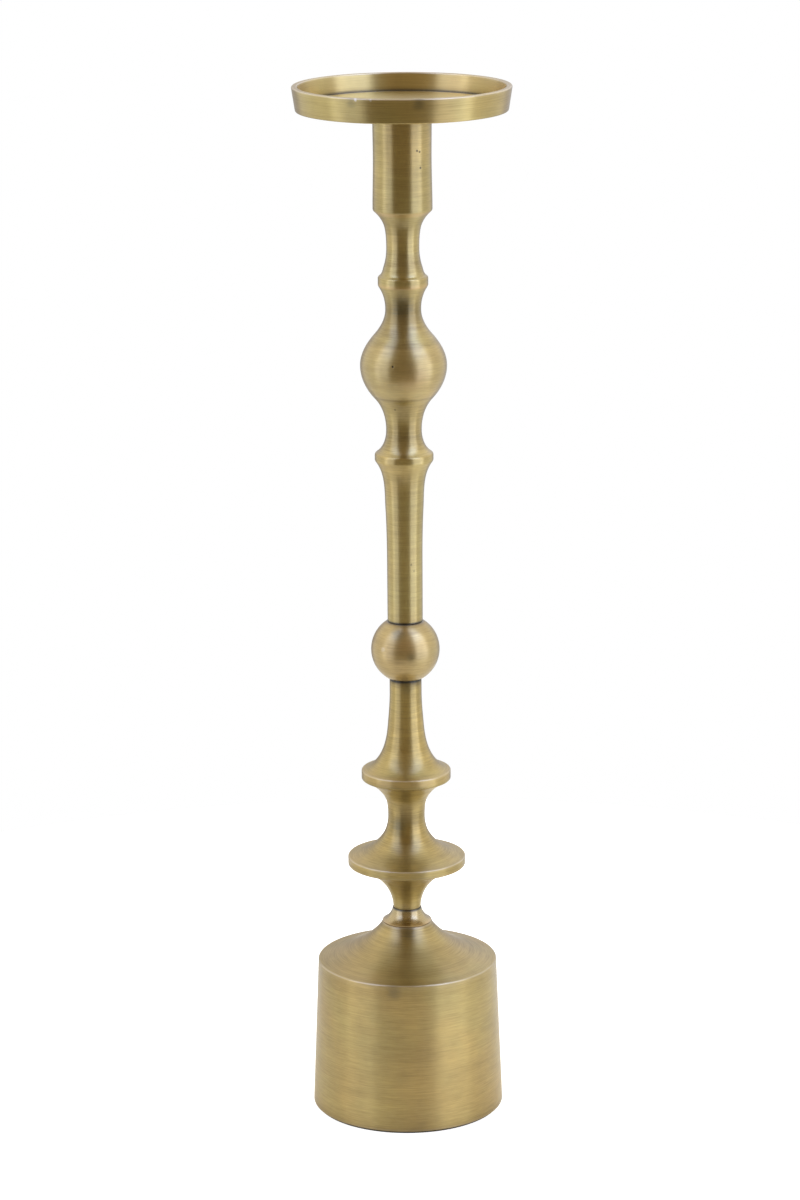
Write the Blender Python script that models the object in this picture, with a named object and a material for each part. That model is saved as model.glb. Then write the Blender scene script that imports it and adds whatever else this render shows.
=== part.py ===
"""Pillar candle holder in antique brass: a shallow dish on a turned column, a ball,
a lower stem with two discs and a tapered hollow base, drawn together by one tie rod.

The object stands on +Z with its axis on the world's Z axis and its felt on Z = 0.
Outlines are traced in millimetres as (radius, height), up the outside of a piece and
down the inside, and are turned round the Z axis into solids in metres.
"""

import math

import bmesh
import bpy
from mathutils import Vector

MM = 0.001
GAP = 0.3
CURVE_STEP = 18.0
FINE = 64
COARSE = 40

# Heights of the joints between pieces, from the floor up, in millimetres.
FELT_THICKNESS = 0.9
BASE_BOTTOM = FELT_THICKNESS + GAP
BASE_SHOULDER = 89.5
BASE_TOP = 111.6
COLLAR_TOP = 120.3
LOWER_STEM_TOP = 259.3
BALL_TOP = 292.7
COLUMN_TOP = 584.6
WASHER_THICKNESS = 1.0
DISH_BOTTOM = 586.2
DISH_FLOOR = 590.0
DISH_TOP = 600.0

# Radii, in millimetres.
FELT_RADIUS = 54.1
BASE_FOOT_RADIUS = 55.6
BASE_SHOULDER_RADIUS = 52.1
LARGE_DISC_RADIUS = 34.1
SMALL_DISC_RADIUS = 25.8
BALL_RADIUS = 19.7
LOWER_RING_RADIUS = 16.7
BULB_RADIUS = 24.6
UPPER_RING_RADIUS = 14.2
SOCKET_RADIUS = 16.4
DISH_FOOT_RADIUS = 59.7
DISH_RIM_RADIUS = 61.7
DISH_WALL = 3.4
DISH_GROOVE = 0.8

# The hidden fastenings, all of the 8 mm thread size.
ROD_RADIUS = 4.0
ROD_HOLE_RADIUS = 4.5
TAPPED_RADIUS = 4.3
ROD_LOW = 90.0
ROD_HIGH = 320.0
STUD_LENGTH = 12.0
STUD_FLANGE_RADIUS = 6.0
NECK_SEAT = 104.0
NUT_HEIGHT = 6.5
NUT_ACROSS_FLATS = 13.0


class Outline:
    """One closed half outline, traced by straight lines and curves.

    Angles are in degrees: 0 heads outward, 90 up, 180 inward and 270 down.
    """

    def __init__(self, radius, height):
        self.points = [(radius, height)]
        self.heading = 0.0

    def line(self, radius, height):
        old_radius, old_height = self.points[-1]
        self.heading = math.degrees(math.atan2(height - old_height, radius - old_radius))
        self.points.append((radius, height))
        return self

    def face(self, heading):
        self.heading = heading
        return self

    def curve(self, radius, height, heading):
        """Curve on from the present heading and arrive with the given one."""
        start = Vector(self.points[-1])
        end = Vector((radius, height))
        turn = abs((heading - self.heading + 180.0) % 360.0 - 180.0)
        reach = (end - start).length / (3.0 * math.cos(math.radians(turn / 4.0)) ** 2)
        first = start + reach * self.direction(self.heading)
        second = end - reach * self.direction(heading)
        steps = max(2, math.ceil(turn / CURVE_STEP))
        for step in range(1, steps + 1):
            t = step / steps
            s = 1.0 - t
            point = s**3 * start + 3 * s * s * t * first + 3 * s * t * t * second + t**3 * end
            self.points.append((point.x, point.y))
        self.heading = heading
        return self

    def rim(self, radius, low, high, edge):
        """A band round a disc or ring, its two edges worn round by the radius edge."""
        self.line(radius - edge, low)
        self.face(0).curve(radius, low + edge, 90)
        self.line(radius, high - edge)
        self.face(90).curve(radius - edge, high, 180)
        return self

    @staticmethod
    def direction(heading):
        angle = math.radians(heading)
        return Vector((math.cos(angle), math.sin(angle)))


def clear_scene():
    for thing in list(bpy.data.objects):
        bpy.data.objects.remove(thing, do_unlink=True)


def metal(name, colour, roughness, metallic=1.0):
    material = bpy.data.materials.new(name)
    material.use_nodes = True
    shader = material.node_tree.nodes["Principled BSDF"]
    shader.inputs["Base Color"].default_value = (*colour, 1.0)
    shader.inputs["Roughness"].default_value = roughness
    shader.inputs["Metallic"].default_value = metallic
    material.diffuse_color = (*colour, 1.0)
    return material


def place(name, mesh, material, origin=0.0, parent=None):
    """Make the object, with its origin on the Z axis at the height origin, in millimetres."""
    mesh.materials.append(material)
    piece = bpy.data.objects.new(name, mesh)
    bpy.context.scene.collection.objects.link(piece)
    piece.location.z = origin * MM
    if parent:
        piece.parent = parent
        piece.location.z -= parent.location.z
    return piece


def turned(name, outline, material, segments=COARSE, origin=0.0, parent=None):
    """Turn a closed outline round the Z axis."""
    shape = bmesh.new()
    corners = [shape.verts.new((r * MM, 0.0, (z - origin) * MM)) for r, z in outline.points]
    edges = [shape.edges.new(pair) for pair in zip(corners, corners[1:] + corners[:1])]
    bmesh.ops.spin(
        shape,
        geom=corners + edges,
        cent=(0.0, 0.0, 0.0),
        axis=(0.0, 0.0, 1.0),
        angle=math.tau,
        steps=segments,
        use_merge=True,
    )
    bmesh.ops.remove_doubles(shape, verts=shape.verts, dist=1e-6)
    bmesh.ops.dissolve_degenerate(shape, dist=1e-7, edges=shape.edges)
    bmesh.ops.recalc_face_normals(shape, faces=shape.faces)
    for face in shape.faces:
        face.smooth = True
    mesh = bpy.data.meshes.new(name)
    shape.to_mesh(mesh)
    shape.free()
    mesh.set_sharp_from_angle(angle=math.radians(30))
    return place(name, mesh, material, origin, parent)


def cut(piece, cutter_mesh, height, name):
    """Cut a hidden shape out of a piece."""
    cutter = bpy.data.objects.new(name, cutter_mesh)
    bpy.context.scene.collection.objects.link(cutter)
    cutter.location.z = height * MM
    cutter.hide_render = True
    cutter.display_type = "WIRE"
    boolean = piece.modifiers.new(name, "BOOLEAN")
    boolean.object = cutter
    boolean.operation = "DIFFERENCE"
    boolean.solver = "EXACT"


def drum(name, radius, height, segments):
    """A plain prism or cylinder, centred on its origin, with a flat side facing Y."""
    shape = bmesh.new()
    bmesh.ops.create_cone(
        shape,
        cap_ends=True,
        segments=segments,
        radius1=radius * MM,
        radius2=radius * MM,
        depth=height * MM,
    )
    mesh = bpy.data.meshes.new(name)
    shape.to_mesh(mesh)
    shape.free()
    return mesh


def slab(name, size, centre):
    """A box of the given size, in millimetres, about a centre."""
    shape = bmesh.new()
    bmesh.ops.create_cube(shape, size=1.0)
    bmesh.ops.scale(shape, vec=Vector(size) * MM, verts=shape.verts)
    bmesh.ops.translate(shape, vec=Vector(centre) * MM, verts=shape.verts)
    mesh = bpy.data.meshes.new(name)
    shape.to_mesh(mesh)
    shape.free()
    return mesh


def ring(name, inner, outer, low, high, material, edge=0.0, segments=COARSE, origin=0.0, parent=None):
    """A flat washer, its outer edges eased where edge is given."""
    outline = Outline(inner, low)
    if edge:
        outline.rim(outer, low, high, edge)
    else:
        outline.line(outer, low).line(outer, high)
    outline.line(inner, high)
    return turned(name, outline, material, segments, origin, parent)


def make_felt(material):
    outline = Outline(0.0, 0.0)
    outline.line(FELT_RADIUS, 0.0).line(FELT_RADIUS, FELT_THICKNESS).line(0.0, FELT_THICKNESS)
    return turned("felt_pad", outline, material, FINE)


def make_bottom_board(material):
    low = BASE_BOTTOM
    high = low + 2.2
    outline = Outline(0.0, low)
    outline.line(52.4, low).line(52.9, low + 0.5).line(52.9, high).line(0.0, high)
    return turned("bottom_board", outline, material, FINE)


def make_base(material):
    """The hollow base: tapered wall, concave shoulder, thick neck, and a step for the board."""
    ledge = BASE_BOTTOM + 2.2 + GAP
    outline = Outline(53.2, BASE_BOTTOM)
    outline.line(BASE_FOOT_RADIUS - 0.9, BASE_BOTTOM)
    outline.face(0).curve(BASE_FOOT_RADIUS, BASE_BOTTOM + 0.9, 92)
    outline.line(BASE_SHOULDER_RADIUS, BASE_SHOULDER - 1.0)
    outline.face(92).curve(BASE_SHOULDER_RADIUS - 1.0, BASE_SHOULDER, 170)
    outline.face(169).curve(31.4, 96.7, 151)
    outline.curve(15.2, 110.0, 127)
    outline.line(14.7, BASE_TOP - 0.5).line(14.1, BASE_TOP)
    outline.line(ROD_HOLE_RADIUS, BASE_TOP)
    outline.line(ROD_HOLE_RADIUS, NECK_SEAT)
    outline.line(13.6, NECK_SEAT).line(14.6, NECK_SEAT - 0.8)
    outline.face(-53).curve(30.4, 92.4, -27)
    outline.curve(47.0, 85.6, -20)
    outline.face(-20).curve(48.8, 83.6, -88)
    outline.line(51.0, ledge)
    outline.line(53.2, ledge)
    return turned("base_shell", outline, material, FINE)


def make_collar(material):
    """The polished collar between the base and the stem."""
    low = BASE_TOP + GAP
    outline = Outline(ROD_HOLE_RADIUS, low)
    outline.line(13.6, low)
    outline.face(0).curve(14.2, low + 0.6, 90)
    outline.face(152).curve(8.5, COLLAR_TOP - 0.6, 101)
    outline.line(8.3, COLLAR_TOP).line(ROD_HOLE_RADIUS, COLLAR_TOP)
    return turned("neck_collar", outline, material)


def make_lower_stem(material):
    """The lower stem: a trumpet foot, the large disc, a waist, the small disc and a neck."""
    low = COLLAR_TOP + GAP
    outline = Outline(ROD_HOLE_RADIUS, low)
    outline.line(8.0, low)
    outline.face(88).curve(15.6, 137.4, 43)
    outline.curve(27.0, 144.5, 20)
    outline.rim(LARGE_DISC_RADIUS, 146.8, 152.1, 0.7)
    outline.face(171).curve(14.2, 163.9, 125)
    outline.curve(10.7, 176.0, 90)
    outline.curve(13.8, 189.8, 52)
    outline.curve(21.4, 196.6, 29)
    outline.rim(SMALL_DISC_RADIUS, 198.4, 204.4, 1.1)
    outline.face(165).curve(16.4, 210.7, 125)
    outline.curve(10.4, 231.0, 95)
    outline.curve(9.2, 251.0, 90)
    outline.line(9.2, LOWER_STEM_TOP - 0.4).line(8.8, LOWER_STEM_TOP)
    outline.line(ROD_HOLE_RADIUS, LOWER_STEM_TOP)
    return turned("lower_stem", outline, material)


def make_ball(material):
    """The ball, with a small flat above and below where its neighbours bear on it."""
    low = LOWER_STEM_TOP + GAP
    middle = (low + BALL_TOP) / 2.0
    reach = math.degrees(math.asin((BALL_TOP - middle) / BALL_RADIUS))
    outline = Outline(ROD_HOLE_RADIUS, low)
    steps = 12
    for step in range(steps + 1):
        angle = math.radians(-reach + 2.0 * reach * step / steps)
        outline.line(BALL_RADIUS * math.cos(angle), middle + BALL_RADIUS * math.sin(angle))
    outline.line(ROD_HOLE_RADIUS, BALL_TOP)
    return turned("stem_ball", outline, material)


def make_column(material):
    """The upper column in one casting: shaft, lower ring, bulb, upper ring and dish socket."""
    low = BALL_TOP + GAP
    outline = Outline(TAPPED_RADIUS, low)
    outline.line(9.8, low).line(10.1, low + 0.3)
    outline.line(10.15, 328.0)
    outline.face(90).curve(10.9, 360.0, 87)
    outline.curve(15.5, 385.6, 57)
    outline.curve(LOWER_RING_RADIUS, 388.0, 90)
    outline.line(LOWER_RING_RADIUS, 390.3)
    outline.face(90).curve(15.9, 391.8, 146)
    outline.curve(10.1, 405.0, 90)
    outline.curve(16.6, 423.4, 47)
    outline.curve(BULB_RADIUS, 442.1, 90)
    outline.curve(16.4, 459.8, 131)
    outline.curve(10.1, 474.2, 90)
    outline.curve(13.5, 486.6, 57)
    outline.curve(UPPER_RING_RADIUS, 488.6, 90)
    outline.line(UPPER_RING_RADIUS, 491.9)
    outline.face(90).curve(13.4, 493.2, 146)
    outline.curve(10.8, 498.8, 108)
    outline.curve(9.3, 509.0, 90)
    outline.curve(10.1, 520.0, 79)
    outline.curve(15.6, 529.3, 43)
    outline.curve(16.8, 531.2, 90)
    outline.curve(SOCKET_RADIUS, 560.0, 90)
    outline.curve(16.6, COLUMN_TOP - 0.5, 90)
    outline.line(16.1, COLUMN_TOP)
    outline.line(STUD_FLANGE_RADIUS + 0.6, COLUMN_TOP)
    outline.line(STUD_FLANGE_RADIUS + 0.6, COLUMN_TOP - 1.4)
    outline.line(TAPPED_RADIUS, COLUMN_TOP - 1.4)
    depth = COLUMN_TOP - STUD_LENGTH - 4.0
    outline.line(TAPPED_RADIUS, depth).line(0.0, depth - 2.4)
    outline.line(0.0, ROD_HIGH + 6.4).line(TAPPED_RADIUS, ROD_HIGH + 4.0)
    return turned("upper_column", outline, material)


def make_tie_rod(material):
    outline = Outline(0.0, ROD_LOW)
    outline.line(ROD_RADIUS - 0.8, ROD_LOW).line(ROD_RADIUS, ROD_LOW + 0.8)
    outline.line(ROD_RADIUS, ROD_HIGH - 0.8).line(ROD_RADIUS - 0.8, ROD_HIGH)
    outline.line(0.0, ROD_HIGH)
    return turned("tie_rod", outline, material, 24)


def make_rod_fastening(material):
    """The washer, split lock washer and nut that draw the stack together from inside the base."""
    high = NECK_SEAT - GAP
    low = high - 2.0
    washer = ring("rod_washer", 4.5, 12.0, low, high, material, 0.3)

    high = low - GAP
    low = high - 2.0
    lock = ring("rod_lock_washer", 4.5, 7.4, low, high, material)
    split = slab("lock_washer_split", (8.0, 1.2, 6.0), (6.5, 0.0, 0.0))
    cut(lock, split, (low + high) / 2.0, "lock_washer_split")

    high = low - GAP
    corner = NUT_ACROSS_FLATS / 2.0 / math.cos(math.pi / 6.0)
    hexagon = drum("rod_nut", corner, NUT_HEIGHT, 6)
    nut = place("rod_nut", hexagon, material, high - NUT_HEIGHT / 2.0)
    bore = drum("nut_bore", TAPPED_RADIUS, NUT_HEIGHT * 2.0, 24)
    cut(nut, bore, high - NUT_HEIGHT / 2.0, "nut_bore")
    return washer, lock, nut


def make_dish_washer(material):
    """The thin washer that the dish is screwed down on."""
    low = COLUMN_TOP + GAP
    inner = STUD_FLANGE_RADIUS + 0.6
    return ring("dish_washer", inner, 15.6, low, low + WASHER_THICKNESS, material, origin=low)


def make_dish(material):
    """The candle dish: a flat floor, a tool groove round it and a low wall that leans out a little."""
    outline = Outline(0.0, DISH_BOTTOM)
    outline.line(DISH_FOOT_RADIUS - 0.7, DISH_BOTTOM)
    outline.face(0).curve(DISH_FOOT_RADIUS, DISH_BOTTOM + 0.7, 81)
    outline.line(DISH_RIM_RADIUS - 0.1, DISH_TOP - 0.9)
    outline.face(81).curve(DISH_RIM_RADIUS - 0.8, DISH_TOP, 180)
    outline.line(DISH_RIM_RADIUS - DISH_WALL + 0.7, DISH_TOP)
    outline.face(180).curve(DISH_RIM_RADIUS - DISH_WALL, DISH_TOP - 0.7, 261)
    outline.line(DISH_FOOT_RADIUS - DISH_WALL + 0.5, DISH_FLOOR - 0.4)
    outline.face(261).curve(DISH_FOOT_RADIUS - DISH_WALL + 0.1, DISH_FLOOR - DISH_GROOVE, 180)
    outline.line(DISH_FOOT_RADIUS - DISH_WALL - 0.5, DISH_FLOOR - DISH_GROOVE)
    outline.line(DISH_FOOT_RADIUS - DISH_WALL - 1.2, DISH_FLOOR)
    outline.line(0.0, DISH_FLOOR)
    return turned("candle_dish", outline, material, FINE, origin=DISH_BOTTOM)


def make_dish_stud(material, dish):
    """The flanged stud welded under the dish, which screws into the column."""
    high = DISH_BOTTOM - GAP
    low = COLUMN_TOP - STUD_LENGTH
    outline = Outline(0.0, low)
    outline.line(ROD_RADIUS - 0.8, low).line(ROD_RADIUS, low + 0.8)
    outline.line(ROD_RADIUS, high - 1.2).line(STUD_FLANGE_RADIUS, high - 1.0)
    outline.line(STUD_FLANGE_RADIUS, high).line(0.0, high)
    return turned("dish_stud", outline, material, 24, DISH_BOTTOM, dish)


def build():
    clear_scene()
    brass = metal("antique_brass", (0.42, 0.31, 0.13), 0.36)
    polished = metal("polished_brass", (0.62, 0.52, 0.30), 0.2)
    warm = metal("warm_brass", (0.40, 0.26, 0.10), 0.42)
    steel = metal("zinc_steel", (0.55, 0.55, 0.56), 0.4)
    black = metal("black_rubber", (0.02, 0.02, 0.02), 0.8, 0.0)
    board = metal("fibreboard", (0.19, 0.12, 0.07), 0.9, 0.0)
    felt = metal("dark_felt", (0.03, 0.03, 0.03), 1.0, 0.0)

    make_felt(felt)
    make_bottom_board(board)
    make_base(brass)
    make_collar(polished)
    make_lower_stem(brass)
    make_ball(warm)
    make_column(brass)
    make_tie_rod(steel)
    make_rod_fastening(steel)
    make_dish_washer(black)
    dish = make_dish(brass)
    make_dish_stud(steel, dish)


build()
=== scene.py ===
import math

import bmesh
import bpy
from mathutils import Matrix, Vector


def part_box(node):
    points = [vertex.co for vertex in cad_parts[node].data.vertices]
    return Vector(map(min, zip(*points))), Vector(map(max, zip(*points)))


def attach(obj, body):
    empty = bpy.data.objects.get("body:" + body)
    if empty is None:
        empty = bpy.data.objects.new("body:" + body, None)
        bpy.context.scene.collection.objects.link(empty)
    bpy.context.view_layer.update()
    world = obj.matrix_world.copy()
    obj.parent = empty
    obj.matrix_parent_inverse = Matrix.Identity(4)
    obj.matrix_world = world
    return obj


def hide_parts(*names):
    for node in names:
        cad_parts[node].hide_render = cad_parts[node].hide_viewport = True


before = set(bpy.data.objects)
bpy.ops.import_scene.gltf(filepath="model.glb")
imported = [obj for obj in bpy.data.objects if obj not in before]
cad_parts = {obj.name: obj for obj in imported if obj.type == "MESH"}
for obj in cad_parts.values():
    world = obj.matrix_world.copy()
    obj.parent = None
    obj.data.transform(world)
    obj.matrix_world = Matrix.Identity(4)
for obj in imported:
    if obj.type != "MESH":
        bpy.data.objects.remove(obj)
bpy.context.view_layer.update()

# Lengths are in millimetres, angles in degrees and heights above the floor, unless a comment
# says otherwise.
MM = 0.001
TINY = 1e-6

# the longest turn and the longest step between two points of a curve
CURVE_TURN = 3.0
CURVE_STEP = 0.9
# how many sides a turned piece has, and the dish, the base and the felt
SIDES = 192
WIDE_SIDES = 256
# corners of a turned piece that are sharper than this are shaded as edges
SHARP_ANGLE = 35
# how far the chart runs on over the face that closes an outline
CLOSING_RUN = 5.0
# radii of the holes for the tie rod and for the dish's stud
ROD_HOLE = 4.5
STUD_HOLE = 4.3
# the CAD leaves about this much between faces that bear on each other
JOINT_GAP = 0.28

# how far along an outline a corner is painted pale, as wear and as a painted highlight, and a
# hollow darkens with patina and painted shade, and how far a rubbed band takes to fade in
EDGE_REACH = 0.8
HOLLOW_REACH = 9.0
RUB_FADE = 1.2
# wear and painted edge highlight for each radian of bend, the amount that doesn't show yet, and
# what upright faces keep of it
WEAR_AND_HIGHLIGHT_GAIN = 0.9
WEAR_AND_HIGHLIGHT_FROM = 0.2
WEAR_AND_HIGHLIGHT_UPRIGHT = 0.6
# painted shade and patina for each radian of bend, and how sharply a black line ends: at joints,
# and as painted shadow at the base's foot and in the dish's groove
SHADE_GAIN = 0.55
INK_GAIN = 1.6

# the thread of the dish's stud; THREAD_ROWS is how many rings draw one turn
THREAD_PITCH = 1.25
THREAD_DEPTH = 0.65
THREAD_RADIUS = 3.98
THREAD_SIDES = 48
THREAD_ROWS = 10
THREAD_SHARP = 40
# lengths over which the thread begins and ends, and of the plain part above it
STUD_RUN_IN = 1.2
STUD_RUN_OUT = 0.8
STUD_PLAIN = 1.6
# length of the chamfer at the stud's tip, and how much it takes off the radius
STUD_TIP = 0.8
STUD_POINT = 0.75
# the weld flange: radius, and height below the stud's top
STUD_FLANGE = ((3.98, 1.2), (5.8, 1.0), (6.0, 0.8), (6.0, 0.2), (5.8, 0.0))

# tool marks: thickness along the outline, length round it, and a shift that sets them apart
HAIR = (0.3, 16.0, 0.0)
LINE = (0.55, 38.0, 7.0)
BAND = (3.2, 70.0, 19.0)

# colours that all the brasses share, and how strongly each kind of finish and of painted light and
# shade acts on the colour, the brushed relief or the roughness
# PALE_BRASS paints worn edges and painted edge highlights
PALE_BRASS = (0.76, 0.68, 0.55)
WARM_BRASS = (0.68, 0.46, 0.20)
OLIVE_SHIFT = (0.95, 0.98, 0.94)
AMBER_SHIFT = (1.03, 0.97, 0.89)
# JOINT_LINE_AND_SHADOW_INK: black lines at joints, and painted shadow at the base's foot and in the
# dish's groove
JOINT_LINE_AND_SHADOW_INK = (0.045, 0.05, 0.05)
STREAK_DARKENS = 0.46
BAND_DARKENS = 0.16
CLOUD_DARKENS = 0.24
# HOLLOW_DARKENS paints patina and shade into hollows, at joints, under rims and at the base's foot
HOLLOW_DARKENS = 0.62
RUB_WARMS = 0.45
RUB_CALMS = 0.6
RUB_ROUGHENS = 0.05
INK_COVERS = 0.92
INK_ROUGHENS = 0.3
# WORN_AND_HIGHLIT_DULLS: how much less metallic the worn and painted-highlight edges are
WORN_AND_HIGHLIT_DULLS = 0.45
# depth of the brushed relief, in metres
BRASS_RELIEF = 0.00006

# tint, raggedness and depth of a small mark in the brass, and how much of it is at full strength
MARK_KINDS = {
    "pit": ((0.03, 0.024, 0.012), 0.9, -3.0, 0.45),
    "nick": ((0.92, 0.88, 0.80), 1.1, 1.0, 0.45),
    "stain": ((0.13, 0.122, 0.07), 1.6, 0.0, 0.1),
    "blush": ((0.60, 0.41, 0.18), 1.2, 0.0, 0.1),
}

# small marks seen on the object: kind, angle round from the front, radius, height, size, strength
COLUMN_MARKS = (
    ("pit", 30, 16.4, 565.4, 0.9, 0.8),
    ("pit", 36, 16.4, 564.6, 0.8, 0.8),
    ("pit", 38, 16.4, 555.7, 0.8, 0.8),
    ("pit", -14.4, 24.0, 445.5, 0.85, 1.0),
    ("pit", -21.9, 13.4, 418.7, 0.8, 0.5),
    ("pit", 20.2, 10.1, 328.0, 0.9, 0.45),
    ("pit", 30.9, 10.1, 324.2, 0.8, 0.35),
    ("stain", -4, 10.4, 477.0, 9.0, 0.6),
    ("blush", 11, 24.0, 438.0, 13.0, 0.45),
)
DISH_MARKS = (
    ("nick", -24.3, 60.9, 599.2, 1.3, 0.7),
    ("nick", -16.0, 60.9, 599.2, 1.2, 0.7),
    ("stain", 8.6, 61.4, 597.6, 5.0, 0.5),
    # this stain is a painted shadow beside the nick at -24.3
    ("stain", -27.0, 61.4, 597.6, 4.0, 0.35),
)
BASE_MARKS = (
    ("stain", -8.7, 52.2, 85.5, 6.0, 0.45),
    ("stain", 2.0, 16.0, 108.0, 6.0, 0.6),
)
STEM_MARKS = (
    ("stain", -27, 11.2, 172.0, 7.0, 0.6),
    ("stain", 4, 9.2, 254.0, 5.0, 0.4),
)
BALL_MARKS = (
    ("stain", -16, 15.5, 288.0, 6.0, 0.45),
    ("stain", 9.3, 19.5, 276.0, 4.0, 0.4),
    ("nick", -41.7, 19.3, 279.5, 1.9, 0.14),
    ("blush", 0, 19.5, 282.0, 8.0, 0.4),
)

# how each brass differs from make_brass's defaults
BRASSES = {
    "brass_base": dict(
        mid=(0.568, 0.431, 0.158), dark=(0.27, 0.193, 0.066),
        grain=0.95, coat=0.75, dash=0.45, marks=BASE_MARKS,
    ),
    "brass_stem": dict(
        mid=(0.63, 0.484, 0.176), grain=1.1, patina_and_shade=1.15, coat=0.5, dash=0.35, marks=STEM_MARKS,
    ),
    "brass_column": dict(patina_and_shade=1.1, coat=0.65, dash=0.4, marks=COLUMN_MARKS),
    "brass_dish": dict(
        mid=(0.64, 0.50, 0.19), dark=(0.30, 0.21, 0.065), rough=0.31, coat=0.6, marks=DISH_MARKS,
    ),
    "brass_satin": dict(
        mid=(0.60, 0.468, 0.21), dark=(0.32, 0.225, 0.09), rough=0.37,
        grain=1.1, patina_and_shade=1.5, aniso=0.6, coat=0.7, dash=0.35, marks=BALL_MARKS,
    ),
    "brass_polished": dict(
        mid=(0.50, 0.405, 0.22), dark=(0.25, 0.19, 0.085), rough=0.24,
        grain=0.7, patina_and_shade=0.6, aniso=0.6, coat=0.8, dash=0.4,
    ),
    "brass_rubbed": dict(
        mid=(0.58, 0.468, 0.19), rough=0.35,
        grain=1.2, patina_and_shade=1.3, aniso=0.8, coat=0.85, dash=0.35, marks=COLUMN_MARKS,
    ),
    "brass_flare": dict(
        mid=(0.612, 0.472, 0.168), rough=0.4,
        grain=1.1, patina_and_shade=1.15, aniso=0.7, coat=0.6, dash=0.35, marks=STEM_MARKS,
    ),
    "brass_shoulder": dict(
        mid=(0.565, 0.44, 0.175), dark=(0.25, 0.18, 0.062), rough=0.4,
        aniso=0.72, coat=0.6, dash=0.6, marks=BASE_MARKS,
    ),
    "brass_inside": dict(
        mid=(0.68, 0.55, 0.235), dark=(0.30, 0.20, 0.06), rough=0.3,
        grain=0.6, coat=1.0, marks=DISH_MARKS,
    ),
}

# studio lights as (centre, half width, soft edge), azimuths from the front with right positive
LEFT_BOX, LEFT_POWER = (-61, 16, 7), 0.90
RIGHT_BOX, RIGHT_POWER = (58, 18, 8), 1.33
BOX_HEIGHTS = (26, 26, 62)
CORE_HEIGHTS = (55, 12, 20)
LEFT_FILL, LEFT_FILL_POWER = (-106, 26, 18), 0.80
RIGHT_FILL, RIGHT_FILL_POWER = (106, 26, 18), 0.78
SWEEP_FROM, SWEEP_TO = 130, 152
SWEEP_LEFT_POWER, SWEEP_RIGHT_POWER = 0.32, 0.44
ABOVE_POWER = 0.24
ROOM_LOW, ROOM_HIGH = 0.17, 0.37
ROOM_COLOUR = (1.0, 0.79, 0.47)
BOX_COLOUR = (0.95, 1.045, 1.38)
CORE_COLOUR = (0.34, 0.62, 1.45)
FILL_COLOUR = (0.94, 1.0, 1.06)
SWEEP_COLOUR = (0.92, 1.02, 1.26)
WHITE = (1.0, 1.0, 1.0)
WORLD_MAP = 512

# the floor, in metres
FLOOR_RADIUS = 0.6
FLOOR_SIDES = 96
FLOOR_LEVEL = -0.0002
FLOOR_SHOWN = 0.9

# the camera: place in metres, dip below level, roll, lens, film width, and sight in metres
CAMERA_PLACE = (-0.0029, -2.2375, 0.8790)
CAMERA_DIP = 14.388
CAMERA_ROLL = -0.388
CAMERA_LENS = 120.87
CAMERA_FILM = 36.0
CAMERA_FAR = 100.0


# ---------------------------------------------------------------- outlines

def direction(heading):
    angle = math.radians(heading)
    return Vector((math.cos(angle), math.sin(angle)))


class Outline:
    """A half outline as (radius, height), traced by lines and curves.

    Headings: 0 is outward, 90 up, 180 inward and 270 down.
    """

    def __init__(self, radius, height):
        self.points = [(radius, height)]
        self.heading = 0.0

    def line(self, radius, height, steps=1):
        old = Vector(self.points[-1])
        new = Vector((radius, height))
        self.heading = math.degrees(math.atan2(new.y - old.y, new.x - old.x))
        for step in range(1, steps + 1):
            self.points.append(tuple(old.lerp(new, step / steps)))
        return self

    def face(self, heading):
        self.heading = heading
        return self

    def curve(self, radius, height, heading):
        """A cubic from the present heading to the given one, near a circle where it can be."""
        start = Vector(self.points[-1])
        end = Vector((radius, height))
        span = (end - start).length
        turn = abs((heading - self.heading + 180.0) % 360.0 - 180.0)
        reach = span / (3.0 * math.cos(math.radians(turn / 4.0)) ** 2)
        first = start + reach * direction(self.heading)
        second = end - reach * direction(heading)
        steps = max(4, math.ceil(turn / CURVE_TURN), math.ceil(span / CURVE_STEP))
        for step in range(1, steps + 1):
            t = step / steps
            s = 1.0 - t
            point = s**3 * start + 3 * s * s * t * first + 3 * s * t * t * second + t**3 * end
            self.points.append((point.x, point.y))
        self.heading = heading
        return self

    def rim(self, radius, low, high, edge):
        """The upright rim of a disc, with both its corners rounded by edge."""
        self.line(radius - edge, low)
        self.face(0).curve(radius, low + edge, 90)
        self.line(radius, high - edge, 3)
        self.face(90).curve(radius - edge, high, 180)
        return self


# ---------------------------------------------------------------- node helpers

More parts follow.
